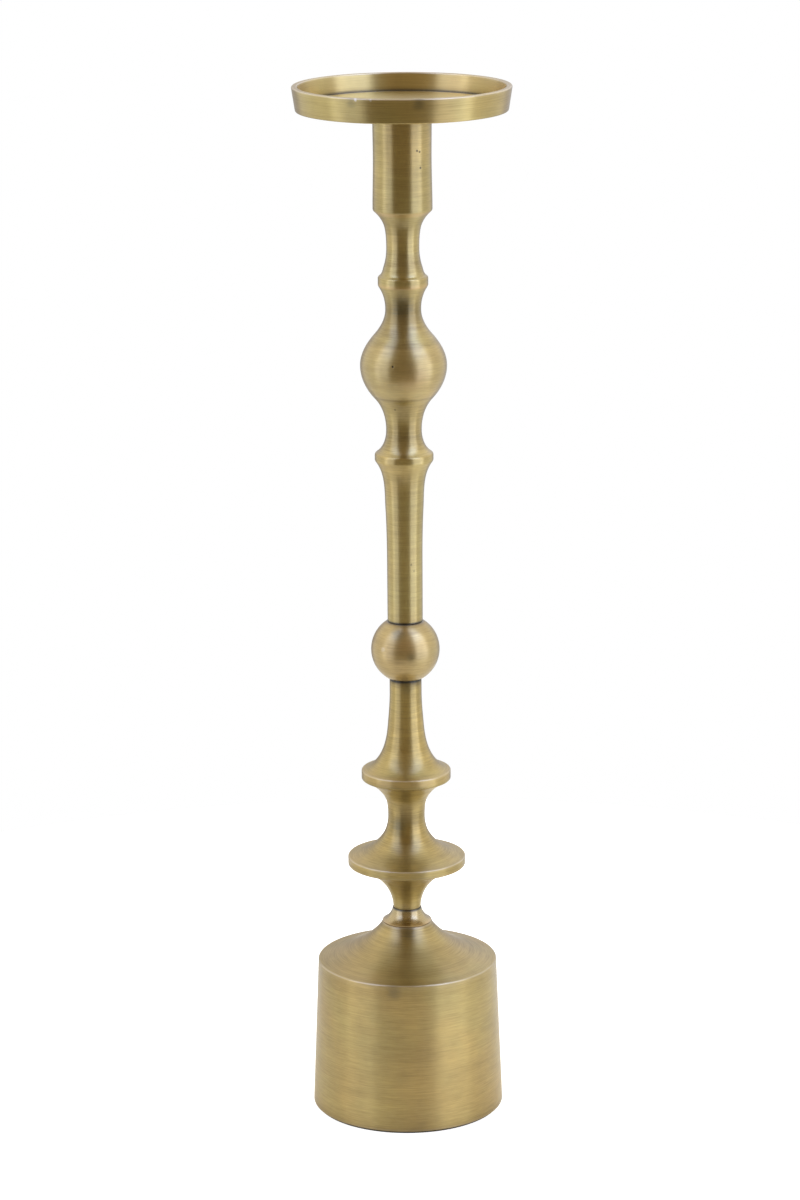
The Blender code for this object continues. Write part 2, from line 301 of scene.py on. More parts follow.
class Nodes:
    """Short names for the shader nodes that the materials are written with."""

    def __init__(self, tree):
        self.tree = tree

    def add(self, kind, **settings):
        node = self.tree.nodes.new(kind)
        for name, value in settings.items():
            setattr(node, name, value)
        return node

    def feed(self, socket, value):
        if isinstance(value, bpy.types.NodeSocket):
            self.tree.links.new(value, socket)
        elif value is not None:
            socket.default_value = value

    def math(self, operation, a, b=None, c=None, clamp=False):
        node = self.add("ShaderNodeMath", operation=operation, use_clamp=clamp)
        for socket, value in zip(node.inputs, (a, b, c)):
            self.feed(socket, value)
        return node.outputs[0]

    def vector(self, x, y, z):
        node = self.add("ShaderNodeCombineXYZ")
        for socket, value in zip(node.inputs, (x, y, z)):
            self.feed(socket, value)
        return node.outputs[0]

    def split(self, vector):
        node = self.add("ShaderNodeSeparateXYZ")
        self.feed(node.inputs[0], vector)
        return tuple(node.outputs)

    def place(self):
        """The place on the object, in metres."""
        return self.add("ShaderNodeTexCoord").outputs["Object"]

    def chart(self, name):
        """The parts of a UV layer."""
        return self.split(self.add("ShaderNodeUVMap", uv_map=name).outputs[0])

    def noise(self, vector, scale, detail, roughness):
        node = self.add("ShaderNodeTexNoise", noise_dimensions="3D")
        self.feed(node.inputs["Vector"], vector)
        node.inputs["Scale"].default_value = scale
        node.inputs["Detail"].default_value = detail
        node.inputs["Roughness"].default_value = roughness
        return node.outputs["Fac"]

    def remap(self, value, low, high, to_low=0.0, to_high=1.0, smooth=False):
        node = self.add("ShaderNodeMapRange", clamp=True)
        node.interpolation_type = "SMOOTHSTEP" if smooth else "LINEAR"
        for name, number in (
            ("From Min", low),
            ("From Max", high),
            ("To Min", to_low),
            ("To Max", to_high),
        ):
            self.feed(node.inputs[name], number)
        self.feed(node.inputs["Value"], value)
        return node.outputs["Result"]

    def mix(self, factor, a, b):
        node = self.add("ShaderNodeMix", data_type="RGBA", blend_type="MIX")
        self.feed(node.inputs[0], factor)
        for socket, value in zip((node.inputs[6], node.inputs[7]), (a, b)):
            self.feed(socket, (*value, 1.0) if isinstance(value, tuple) else value)
        return node.outputs[2]

    def bump(self, shader, height, strength, distance):
        node = self.add("ShaderNodeBump")
        node.inputs["Strength"].default_value = strength
        node.inputs["Distance"].default_value = distance
        self.feed(node.inputs["Height"], height)
        self.feed(shader.inputs["Normal"], node.outputs[0])

    def both(self, first, second):
        node = self.add("ShaderNodeAddShader")
        self.feed(node.inputs[0], first)
        self.feed(node.inputs[1], second)
        return node.outputs[0]

    def background(self, colour, strength):
        node = self.add("ShaderNodeBackground")
        node.inputs["Color"].default_value = (*colour, 1.0)
        self.feed(node.inputs["Strength"], strength)
        return node.outputs[0]


def new_material(name):
    material = bpy.data.materials.new(name)
    material.use_nodes = True
    nodes = Nodes(material.node_tree)
    shader = material.node_tree.nodes["Principled BSDF"]
    return material, nodes, shader


# ---------------------------------------------------------------- materials

def streaks(nodes, at, marks, dash=1.0):
    """Marks left by the tool: long round the axis and thin along the outline."""
    x, y, run = at
    across, along, shift = marks
    length = 1.0 / MM / (along * dash)
    width = 1.0 / MM / across
    vector = nodes.vector(
        nodes.math("MULTIPLY_ADD", x, length, shift),
        nodes.math("MULTIPLY", y, length),
        nodes.math("MULTIPLY", run, width),
    )
    return nodes.noise(vector, 1.0, 2.0, 0.6)


def tinted(colour, shift):
    return tuple(channel * by for channel, by in zip(colour, shift))


def make_brass(
    name,
    mid=(0.62, 0.49, 0.195),
    dark=(0.29, 0.212, 0.074),
    rough=0.36,
    grain=1.0,
    patina_and_shade=1.0,
    aniso=0.93,
    coat=0.45,
    dash=1.0,
    marks=(),
):
    """Brass brushed on a lathe, with darker patina and painted shade in its hollows, at joints and
    under rims, and edges painted pale as wear and as highlight.

    grain scales the tool marks, the patina argument the tarnish and the painted shade in hollows,
    and dash the length of the marks.
    """
    material, nodes, shader = new_material(name)
    place = nodes.place()
    x, y, _ = nodes.split(place)
    _, run, _ = nodes.chart("turning")
    # the second chart holds pale edges, painted as wear and as highlight, and darkening painted as
    # patina and shade; the third holds rubbed bands and black lines at joints, with painted shadow
    # at the base's foot and in the dish's groove
    wear_and_highlight, hollow, _ = nodes.chart("finish")
    rub, ink, _ = nodes.chart("rubbed")

    at = (x, y, run)
    hair = streaks(nodes, at, HAIR, dash)
    line = streaks(nodes, at, LINE, dash)
    band = streaks(nodes, at, BAND)
    cloud = nodes.noise(place, 34.0, 4.0, 0.6)
    speck = nodes.noise(place, 260.0, 3.0, 0.7)
    drift = nodes.noise(place, 21.0, 3.0, 0.55)

    streak = nodes.math("ADD", nodes.math("MULTIPLY", hair, 0.5), nodes.math("MULTIPLY", line, 0.5))
    streak = nodes.remap(streak, 0.32, 0.68)
    calm = nodes.remap(rub, 0.0, 1.0, 1.0, RUB_CALMS)
    tone = nodes.math("MULTIPLY", nodes.math("MULTIPLY", streak, STREAK_DARKENS * grain), calm)
    tone = nodes.math("ADD", tone, nodes.remap(band, 0.3, 0.7, 0.0, BAND_DARKENS * grain))
    tone = nodes.math("ADD", tone, nodes.remap(cloud, 0.35, 0.7, 0.0, CLOUD_DARKENS * patina_and_shade))
    # patina and painted shade in hollows, at joints and under rims
    depth = nodes.remap(hollow, 0.0, 1.0)
    tone = nodes.math("MULTIPLY_ADD", depth, HOLLOW_DARKENS * patina_and_shade, tone, clamp=True)

    hue = nodes.remap(drift, 0.35, 0.65, smooth=True)
    colour = nodes.mix(hue, tinted(mid, OLIVE_SHIFT), tinted(mid, AMBER_SHIFT))
    colour = nodes.mix(tone, colour, dark)
    colour = nodes.mix(nodes.math("MULTIPLY", rub, RUB_WARMS), colour, WARM_BRASS)
    # edges painted pale: wear, and a painted highlight
    uneven = nodes.remap(line, 0.25, 0.6, 0.55, 1.0)
    worn_and_highlit = nodes.math("MULTIPLY", nodes.remap(wear_and_highlight, 0.05, 1.0), uneven, clamp=True)
    colour = nodes.mix(worn_and_highlit, colour, PALE_BRASS)
    # black lines at joints, and painted shadow at the base's foot and in the dish's groove
    colour = nodes.mix(nodes.math("MULTIPLY", ink, INK_COVERS), colour, JOINT_LINE_AND_SHADOW_INK)

    rough_value = nodes.remap(streak, 0.0, 1.0, rough - 0.03, rough + 0.05)
    rough_value = nodes.math("ADD", rough_value, nodes.remap(cloud, 0.3, 0.75, -0.02, 0.05))
    rough_value = nodes.math("MULTIPLY_ADD", rub, RUB_ROUGHENS, rough_value)
    rough_value = nodes.math("MULTIPLY_ADD", ink, INK_ROUGHENS, rough_value)

    height = nodes.math("ADD", nodes.math("MULTIPLY", hair, 0.7), nodes.math("MULTIPLY", line, 0.8))
    height = nodes.math("MULTIPLY", height, calm)
    height = nodes.math("ADD", height, nodes.math("MULTIPLY", speck, 0.14))

    for kind, turn, radius, level, size, strength in marks:
        tint, edge, dent, core = MARK_KINDS[kind]
        outward = radius * MM
        angle = math.radians(turn)
        size = size * MM
        offset = nodes.add("ShaderNodeVectorMath", operation="DISTANCE")
        nodes.feed(offset.inputs[0], place)
        offset.inputs[1].default_value = (
            outward * math.sin(angle),
            -outward * math.cos(angle),
            level * MM,
        )
        unevenness = speck if dent else line
        ragged = nodes.math("MULTIPLY_ADD", unevenness, edge * size, -0.5 * edge * size)
        reach = nodes.math("ADD", offset.outputs["Value"], ragged)
        mark = nodes.remap(reach, size * core, size, strength, 0.0, smooth=True)
        colour = nodes.mix(mark, colour, tint)
        if kind == "nick":
            worn_and_highlit = nodes.math("MAXIMUM", worn_and_highlit, mark)
        if dent:
            height = nodes.math("MULTIPLY_ADD", mark, dent, height)

    nodes.bump(shader, height, 0.5 * grain, BRASS_RELIEF)
    nodes.feed(shader.inputs["Base Color"], colour)
    nodes.feed(shader.inputs["Roughness"], rough_value)
    # pale edges lose metal shine, so that their painted highlight shows all round
    nodes.feed(shader.inputs["Metallic"], nodes.math("MULTIPLY_ADD", worn_and_highlit, -WORN_AND_HIGHLIT_DULLS, 1.0))
    tangent = nodes.add("ShaderNodeTangent", direction_type="RADIAL", axis="Z")
    nodes.feed(shader.inputs["Tangent"], tangent.outputs[0])
    shader.inputs["Specular Tint"].default_value = (1.0, 0.97, 0.9, 1.0)
    shader.inputs["Anisotropic"].default_value = aniso
    shader.inputs["Anisotropic Rotation"].default_value = 0.25
    shader.inputs["Coat Weight"].default_value = coat
    shader.inputs["Coat Roughness"].default_value = 0.24
    shader.inputs["Coat IOR"].default_value = 1.6
    return material


def make_steel(name, pitch=None):
    """Zinc plated steel; pitch draws a thread's ridges along Z, in metres."""
    material, nodes, shader = new_material(name)
    place = nodes.place()
    fine = nodes.noise(place, 900.0, 3.0, 0.6)
    broad = nodes.noise(place, 120.0, 3.0, 0.6)
    colour = nodes.mix(nodes.remap(broad, 0.3, 0.7), (0.62, 0.61, 0.58), (0.42, 0.42, 0.43))
    nodes.feed(shader.inputs["Base Color"], colour)
    nodes.feed(shader.inputs["Roughness"], nodes.remap(fine, 0.3, 0.7, 0.3, 0.46))
    shader.inputs["Metallic"].default_value = 1.0
    height = nodes.math("MULTIPLY", fine, 0.3)
    if pitch:
        x, y, z = nodes.split(place)
        angle = nodes.math("ARCTAN2", y, x)
        unwound = nodes.math("MULTIPLY", angle, -1.0)
        turn = nodes.math("MULTIPLY_ADD", z, math.tau / pitch, unwound)
        height = nodes.math("MULTIPLY_ADD", nodes.math("SINE", turn), 3.0, height)
    nodes.bump(shader, height, 0.7, 0.0001)
    return material


def make_rubber():
    material, nodes, shader = new_material("rubber_black")
    grain = nodes.noise(nodes.place(), 1500.0, 3.0, 0.6)
    colour = nodes.mix(grain, (0.012, 0.012, 0.012), (0.035, 0.034, 0.033))
    nodes.feed(shader.inputs["Base Color"], colour)
    nodes.feed(shader.inputs["Roughness"], nodes.remap(grain, 0.3, 0.7, 0.6, 0.85))
    nodes.bump(shader, grain, 0.3, 0.0001)
    return material


def make_board():
    material, nodes, shader = new_material("fibreboard_raw")
    place = nodes.place()
    fibre = nodes.noise(place, 700.0, 5.0, 0.7)
    stain = nodes.noise(place, 60.0, 3.0, 0.5)
    colour = nodes.mix(nodes.remap(fibre, 0.35, 0.65), (0.22, 0.14, 0.08), (0.13, 0.08, 0.045))
    colour = nodes.mix(nodes.remap(stain, 0.4, 0.7, 0.0, 0.4), colour, (0.09, 0.055, 0.03))
    nodes.feed(shader.inputs["Base Color"], colour)
    nodes.feed(shader.inputs["Roughness"], nodes.remap(fibre, 0.3, 0.7, 0.8, 0.95))
    nodes.bump(shader, fibre, 0.5, 0.0002)
    return material


def make_felt_material():
    """Pressed wool felt: matted fibres in two directions and a soft sheen."""
    material, nodes, shader = new_material("felt_dark")
    place = nodes.place()
    fibres = []
    for spin in (0.5, 1.9):
        turn = nodes.add("ShaderNodeMapping")
        turn.inputs["Rotation"].default_value = (0.0, 0.0, spin)
        turn.inputs["Scale"].default_value = (2600.0, 420.0, 900.0)
        nodes.feed(turn.inputs["Vector"], place)
        fibres.append(nodes.noise(turn.outputs[0], 1.0, 3.0, 0.7))
    mat = nodes.math("MAXIMUM", *fibres)
    tufts = nodes.noise(place, 240.0, 4.0, 0.6)
    colour = nodes.mix(nodes.remap(mat, 0.4, 0.7), (0.012, 0.013, 0.012), (0.045, 0.047, 0.043))
    nodes.feed(shader.inputs["Base Color"], colour)
    nodes.feed(shader.inputs["Roughness"], nodes.remap(tufts, 0.3, 0.7, 0.88, 1.0))
    shader.inputs["Sheen Weight"].default_value = 0.35
    shader.inputs["Sheen Roughness"].default_value = 0.5
    height = nodes.math("ADD", mat, nodes.math("MULTIPLY", tufts, 0.6))
    nodes.bump(shader, height, 0.8, 0.0003)
    return material


# ---------------------------------------------------------------- turned pieces

def unit(value):
    return min(1.0, max(0.0, value))


def wear_shade_rub_and_ink_of(points, seams, rubs, inks, hollows):
    """(wear and highlight, hollow shade, rub, ink, run) for each point.

    Edges are painted pale as wear and as highlight, hollows and seams darken with patina and
    painted shade, swellings are rubbed, and joints hold a black line.
    """
    spots = [Vector(p) for p in points]
    runs = [0.0]
    for a, b in zip(spots, spots[1:]):
        runs.append(runs[-1] + (b - a).length)
    bends = [0.0] * len(spots)
    for i in range(1, len(spots) - 1):
        before = spots[i] - spots[i - 1]
        after = spots[i + 1] - spots[i]
        if before.length > TINY and after.length > TINY:
            bends[i] = math.atan2(before.x * after.y - before.y * after.x, before.dot(after))
    wear_and_highlight, hollow, rub, ink = [], [], [], []
    for i, spot in enumerate(spots):
        near = far = 0.0
        for j, bend in enumerate(bends):
            gap = abs(runs[j] - runs[i])
            near += bend * max(0.0, 1.0 - gap / EDGE_REACH)
            far += bend * max(0.0, 1.0 - gap / HOLLOW_REACH)
        ahead = spots[min(i + 1, len(spots) - 1)] - spots[max(i - 1, 0)]
        facing = -ahead.x / max(ahead.length, TINY)
        # pale edges, painted as wear and as highlight, kept more on edges that face up
        wear_and_highlight.append(unit(near * WEAR_AND_HIGHLIGHT_GAIN - WEAR_AND_HIGHLIGHT_FROM) * unit(WEAR_AND_HIGHLIGHT_UPRIGHT + facing))
        # patina and painted shade in hollows, and painted shade round each seam
        shade = hollows * unit(-far * SHADE_GAIN)
        for radius, height, reach, strength in seams:
            near_seam = max(0.0, 1.0 - (spot - Vector((radius, height))).length / reach)
            shade = min(1.0, shade + strength * near_seam**2)
        hollow.append(shade)
        rubbing = [
            strength * min(unit((spot.y - low) / RUB_FADE), unit((high - spot.y) / RUB_FADE))
            for low, high, strength in rubs
        ]
        rub.append(max([0.0] + rubbing))
        gaps = [(spot - Vector((radius, height))).length / reach for radius, height, reach in inks]
        ink.append(max([0.0] + [min(1.0, INK_GAIN * (1.0 - gap)) for gap in gaps]))
    return wear_and_highlight, hollow, rub, ink, runs


def turned(
    name,
    outline,
    material,
    body,
    nodes,
    seams=(),
    rubs=(),
    inks=(),
    hollows=1.0,
    edges=1.0,
    soft=None,
    bands=(),
    sides=SIDES,
):
    """Turn an outline round the Z axis in fine steps and put it in place of its CAD node.

    Seams are (radius, height, reach, strength) and paint shade round a point, rubs (low, high,
    strength) and inks (radius, height, reach). The soft material goes on the bands: (low, high,
    radius that stays inside).
    hollows scales the patina and painted shade in hollows, and edges the pale edges painted as wear
    and as highlight.
    """
    points = outline.points
    wear_and_highlight, hollow, rub, ink, runs = wear_shade_rub_and_ink_of(points, seams, rubs, inks, hollows)
    vertices, rows = [], []
    for radius, height in points:
        if radius < TINY:
            rows.append([len(vertices)] * (sides + 1))
            vertices.append((0.0, 0.0, height * MM))
            continue
        start = len(vertices)
        for side in range(sides):
            angle = math.tau * side / sides
            x, y = radius * MM * math.cos(angle), radius * MM * math.sin(angle)
            vertices.append((x, y, height * MM))
        rows.append([start + side % sides for side in range(sides + 1)])
    last = len(points) - 1
    pairs = [(index, index + 1) for index in range(last)]
    if max(points[0][0], points[last][0]) > TINY:
        pairs.append((last, 0))
    faces, turning, finish, rubbed, slots = [], [], [], [], []
    for low, high in pairs:
        out = max(points[low][0], points[high][0])
        if out < TINY:
            continue
        top_run = runs[high] if high > low else runs[low] + CLOSING_RUN
        middle = (points[low][1] + points[high][1]) / 2.0
        softer = any(a < middle < b and out < most for a, b, most in bands)
        for side in range(sides):
            corners = {}
            for vertex, turn, run, point in (
                (rows[low][side], side, runs[low], low),
                (rows[low][side + 1], side + 1, runs[low], low),
                (rows[high][side + 1], side + 1, top_run, high),
                (rows[high][side], side, top_run, high),
            ):
                corners.setdefault(vertex, (turn / sides, run * MM, point))
            faces.append(list(corners))
            slots.append(1 if softer else 0)
            for turn, run, point in corners.values():
                turning += (turn, run)
                finish += (wear_and_highlight[point] * edges, hollow[point])
                rubbed += (rub[point], ink[point])
    mesh = bpy.data.meshes.new(name)
    mesh.from_pydata(vertices, [], faces)
    for label, values in (("turning", turning), ("finish", finish), ("rubbed", rubbed)):
        mesh.uv_layers.new(name=label).data.foreach_set("uv", values)
    mesh.materials.append(material)
    if soft:
        mesh.materials.append(soft)
        mesh.polygons.foreach_set("material_index", slots)
    place_piece(name, mesh, SHARP_ANGLE, body, nodes)


def place_piece(name, mesh, sharp, body, nodes):
    """Shade a mesh smooth up to the sharp angle and put it in the scene for its CAD node."""
    mesh.polygons.foreach_set("use_smooth", [True] * len(mesh.polygons))
    mesh.set_sharp_from_angle(angle=math.radians(sharp))
    mesh.update()
    piece = bpy.data.objects.new(name, mesh)
    bpy.context.scene.collection.objects.link(piece)
    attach(piece, body)
    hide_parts(*nodes)


# The outlines below give radii, and heights from the CAD node's own bottom or top.

def low_of(node):
    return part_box(node)[0].z / MM


def high_of(node):
    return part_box(node)[1].z / MM


def widest(node):
    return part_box(node)[1].x / MM


def make_base(brass, soft):
    low = low_of("base_shell")
    top = high_of("base_shell")
    foot = widest("base_shell")
    shoulder = foot - 3.5
    edge = top - 22.1
    neck_floor = top - 7.6
    recess, recess_top = 53.2, low + 2.5
    outline = Outline(recess, low)
    outline.line(foot - 0.9, low)
    outline.face(0).curve(foot, low + 0.9, 92)
    outline.line(foot - 0.2, low + 6.0, 4)
    outline.line(shoulder, edge - 1.0, 16)
    outline.face(92).curve(shoulder - 1.0, edge, 170)
    outline.face(169).curve(31.4, edge + 7.2, 151)
    outline.curve(15.2, edge + 20.5, 127)
    outline.line(14.7, top - 0.5).line(14.1, top)
    outline.line(ROD_HOLE, top)
    outline.line(ROD_HOLE, neck_floor)
    outline.line(13.6, neck_floor).line(14.6, neck_floor - 0.8)
    outline.face(-53).curve(30.4, edge + 2.9, -27)
    outline.curve(47.0, edge - 3.9, -20)
    outline.face(-20).curve(48.8, edge - 5.9, -88)
    outline.line(51.0, recess_top, 8)
    outline.line(recess, recess_top)
    turned(
        "base_body", outline, brass, "stand", ["base_shell"],
        # painted shade round the collar's seat, towards the foot where the floor's shadow is
        # reflected, and under the shoulder
        seams=((14.4, top, 7.0, 0.8), (foot, low, 11.0, 1.0), (shoulder, edge - 4.0, 12.0, 0.35)),
        # the black line under the foot is a painted shadow
        inks=((foot - 0.9, low, 0.7),),
        soft=soft,
        bands=((edge - 0.4, top + 1.0, foot),),
        sides=WIDE_SIDES,
    )


def make_collar(brass):
    low = low_of("neck_collar")
    top = high_of("neck_collar")
    outline = Outline(ROD_HOLE, low - JOINT_GAP)
    outline.line(13.6, low - JOINT_GAP)
    outline.face(0).curve(14.2, low + 0.6, 90)
    outline.face(152).curve(8.5, top - 0.6, 101)
    outline.line(8.3, top).line(ROD_HOLE, top)
    turned(
        "neck_ring", outline, brass, "stand", ["neck_collar"],
        # painted shade at the seat on the base
        seams=((14.2, low, 1.6, 0.35),),
        rubs=((low - 1.0, low + 1.8, 0.9),),
        inks=((8.3, top, 1.1),),
        edges=0.2,
    )


def make_lower_stem(brass, soft):
    low = low_of("lower_stem")
    top = high_of("lower_stem")
    wide = widest("lower_stem")
    outline = Outline(ROD_HOLE, low - JOINT_GAP)
    outline.line(7.8, low - JOINT_GAP).line(8.0, low + 0.2)
    outline.face(88).curve(15.6, low + 16.8, 43)
    outline.curve(27.0, low + 23.9, 20)
    outline.rim(wide, low + 26.2, low + 31.5, 0.7)
    outline.face(171).curve(14.2, low + 43.3, 125)
    outline.curve(10.7, low + 55.4, 90)
    outline.curve(13.8, low + 69.2, 52)
    outline.curve(21.4, low + 76.0, 29)
    outline.rim(wide - 8.3, low + 77.8, low + 83.8, 1.1)
    outline.face(165).curve(16.4, low + 90.1, 125)
    outline.curve(10.4, low + 110.4, 95)
    outline.curve(9.2, low + 130.4, 90)
    outline.line(9.2, top - 2.0, 3)
    outline.line(9.2, top - 0.4, 4)
    outline.line(8.8, top)
    outline.line(ROD_HOLE, top)
    turned(
        "stem_low", outline, brass, "stand", ["lower_stem"],
        # painted shade under the ball, at the collar, under both rims and in the waist
        seams=(
            (9.0, top, 8.0, 0.9),
            (8.0, low, 4.0, 0.3),
            (24.0, low + 77.6, 9.0, 0.6),
            (32.0, low + 26.0, 9.0, 0.5),
            (10.7, low + 56.0, 7.0, 0.5),
        ),
        rubs=((low + 79.0, low + 84.5, 0.5),),
        inks=((9.2, top, 2.4),),
        edges=0.8,
        soft=soft,
        bands=((low + 30.8, low + 42.0, wide), (low + 82.7, low + 96.0, wide)),
    )


def make_ball(brass):
    low = low_of("stem_ball")
    top = high_of("stem_ball")
    middle = (low + top) / 2.0
    radius = widest("stem_ball")
    reach = math.degrees(math.asin((top - middle) / radius))
    steps = 60
    outline = Outline(ROD_HOLE, low)
    for step in range(steps + 1):
        angle = math.radians(-reach + 2.0 * reach * step / steps)
        outline.line(radius * math.cos(angle), middle + radius * math.sin(angle))
    outline.line(ROD_HOLE, top)
    turned(
        "ball", outline, brass, "stand", ["stem_ball"],
        # painted shade at the joints above and below
        seams=((10.0, top, 4.0, 0.8), (9.5, low, 4.0, 0.8)),
        inks=((10.2, top, 0.7), (9.6, low, 0.9)),
    )


def make_column(brass, soft):
    low = low_of("upper_column")
    top = high_of("upper_column")
    bulb = widest("upper_column")
    ring = bulb - 7.9
    outline = Outline(STUD_HOLE, low)
    outline.line(9.9, low).line(10.1, low + 0.2)
    outline.line(10.1, low + 1.2)
    outline.line(10.15, low + 35.0, 6)
    outline.face(90).curve(10.9, low + 67.0, 87)
    outline.curve(15.5, low + 92.6, 57)
    outline.curve(ring, low + 95.0, 90)
    outline.line(ring, low + 97.3, 2)
    outline.face(90).curve(15.9, low + 98.8, 146)
    outline.curve(10.1, low + 112.0, 90)
    outline.curve(16.6, low + 130.4, 47)
    outline.curve(bulb, low + 149.1, 90)
    outline.curve(16.4, low + 166.8, 131)
    outline.curve(10.1, low + 181.2, 90)
    outline.curve(13.5, low + 193.6, 57)
    outline.curve(14.2, low + 195.6, 90)
    outline.line(14.2, low + 198.9, 2)
    outline.face(90).curve(13.4, low + 200.2, 146)
    outline.curve(10.8, low + 205.8, 108)
    outline.curve(9.3, low + 216.0, 90)
    outline.curve(10.1, low + 227.0, 79)
    outline.curve(15.6, low + 236.3, 43)
    outline.curve(16.8, low + 238.2, 90)
    outline.curve(16.4, low + 267.0, 90)
    outline.curve(16.6, top - 0.5, 90)
    outline.line(16.1, top)
    outline.line(6.6, top)
    outline.line(6.6, top - 1.4)
    outline.line(STUD_HOLE, top - 1.4)
    outline.line(STUD_HOLE, top - 16.0).line(0.0, top - 18.4)
    outline.line(0.0, low + 33.4).line(STUD_HOLE, low + 31.0)
    turned(
        "column_high", outline, brass, "stand", ["upper_column"],
        # painted shade at both ends and in the three necks
        seams=(
            (10.0, low, 3.0, 0.5),
            (16.4, top, 4.0, 0.5),
            (10.1, low + 112.0, 14.0, 0.3),
            (10.1, low + 181.0, 14.0, 0.7),
            (9.3, low + 208.0, 12.0, 0.4),
            # fine dark rings round the bulb and the neck below it, at heights above the floor
            (21.6, 457.0, 3.4, 1.5),
            (20.6, 461.5, 2.2, 0.4),
            (19.8, 464.5, 1.8, 0.4),
            (17.9, 424.5, 2.6, 0.8),
            (14.5, 418.0, 7.0, 0.35),
        ),
        rubs=(
            (low + 131.8, low + 163.0, 0.35),
            (top - 57.0, top - 53.5, 1.0),
            (low + 193.6, low + 196.4, 1.3),
        ),
        inks=((10.0, low, 0.7),),
        edges=0.3,
        soft=soft,
        bands=(
            (low + 98.6, low + 110.0, bulb),
            (low + 131.8, low + 179.0, bulb + 1.0),
            (low + 199.6, low + 214.0, bulb),
        ),
    )


def make_dish(brass, inside):
    low = low_of("candle_dish")
    top = high_of("candle_dish")
    rim = widest("candle_dish")
    floor = top - 10.0
    foot = rim - 2.0
    wall = 3.4
    # where the inner wall meets the floor, and the floor of the tool groove round it
    corner = foot - wall
    groove = floor - 0.8
    outline = Outline(0.0, low)
    outline.line(foot - 0.7, low, 12)
    outline.face(0).curve(foot, low + 0.7, 81)
    outline.line(rim - 0.1, top - 0.9, 4)
    outline.face(81).curve(rim - 0.8, top, 180)
    outline.line(rim - wall + 0.7, top, 2)
    outline.face(180).curve(rim - wall, top - 0.7, 261)
    outline.line(corner + 0.75, floor + 1.3, 7)
    outline.face(261).line(corner + 0.5, floor - 0.4)
    outline.face(261).curve(corner + 0.1, groove, 180)
    outline.line(corner - 0.5, groove)
    outline.face(180).curve(corner - 1.1, floor - 0.3, 90)
    outline.line(corner - 1.3, floor)
    outline.line(0.0, floor, 24)
    turned(
        "dish_body", outline, brass, "dish", ["candle_dish"],
        # painted shade in the groove at the foot of the inner wall
        seams=((corner, floor - 0.2, 4.6, 1.0),),
        # the black line in the groove is a painted shadow
        inks=((corner - 0.3, floor - 0.7, 2.2),),
        hollows=0.0,
        soft=inside,
        bands=((floor - 2.0, top - 0.2, foot - 1.0),),
        sides=WIDE_SIDES,
    )


def make_stud(steel):
    """The dish's stud with a real helical thread below its weld flange."""
    low = low_of("dish_stud")
    top = high_of("dish_stud")
    thread_top = top - STUD_PLAIN
    shape = bmesh.new()

    def corner(radius, side, z):
        angle = math.tau * side / THREAD_SIDES
        x, y = radius * MM * math.cos(angle), radius * MM * math.sin(angle)
        return shape.verts.new((x, y, z * MM))

    rows = []
    count = int((thread_top - low) / THREAD_PITCH * THREAD_ROWS)
    for row in range(count + 1):
        z = low + (thread_top - low) * row / count
        fade = max(0.0, min(1.0, (z - low) / STUD_RUN_IN, (thread_top - z) / STUD_RUN_OUT))
        tip = STUD_POINT * max(0.0, 1.0 - (z - low) / STUD_TIP)
        ring = []
        for side in range(THREAD_SIDES):
            phase = ((z - low) / THREAD_PITCH - side / THREAD_SIDES) % 1.0
            depth = THREAD_DEPTH * abs(2.0 * phase - 1.0)
            ring.append(corner(THREAD_RADIUS - depth * fade - tip, side, z))
        rows.append(ring)
    for radius, below in STUD_FLANGE:
        rows.append([corner(radius, side, top - below) for side in range(THREAD_SIDES)])
    for lower, upper in zip(rows, rows[1:]):
        for side in range(THREAD_SIDES):
            after = (side + 1) % THREAD_SIDES
            shape.faces.new((lower[side], lower[after], upper[after], upper[side]))
    shape.faces.new(reversed(rows[0]))
    shape.faces.new(rows[-1])
    mesh = bpy.data.meshes.new("stud_thread")
    shape.to_mesh(mesh)
    shape.free()
    mesh.materials.append(steel)
    place_piece("stud_thread", mesh, THREAD_SHARP, "dish", ["dish_stud"])


def make_felt(felt):
    radius = widest("felt_pad")
    top = high_of("felt_pad")
    outline = Outline(0.0, 0.0)
    outline.line(radius - 0.5, 0.0, 10)
    outline.face(0).curve(radius, 0.45, 90)
    outline.curve(radius - 0.25, top, 150)
    outline.line(0.0, top, 6)
    turned("felt_disc", outline, felt, "stand", ["felt_pad"], sides=WIDE_SIDES)


def make_washer(rubber):
    low = low_of("dish_washer")
    top = high_of("dish_washer")
    hole, side = 6.6, 15.6
    outline = Outline(hole, low)
    outline.line(side - 0.3, low)
    outline.face(0).curve(side, (low + top) / 2.0, 90)
    outline.curve(side - 0.3, top, 180)
    outline.line(hole, top)
    turned("seat_washer", outline, rubber, "washer", ["dish_washer"])


def repaint(node, material):
    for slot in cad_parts[node].material_slots:
        slot.material = material


# ---------------------------------------------------------------- studio

def window(nodes, value, extent):
    """1 within the extent's half width of its centre, falling to 0 over its soft edge."""
    centre, half, soft = (math.radians(part) for part in extent)
    gap = nodes.math("ABSOLUTE", nodes.math("SUBTRACT", value, centre))
    return nodes.remap(gap, half, half + soft, 1.0, 0.0, smooth=True)


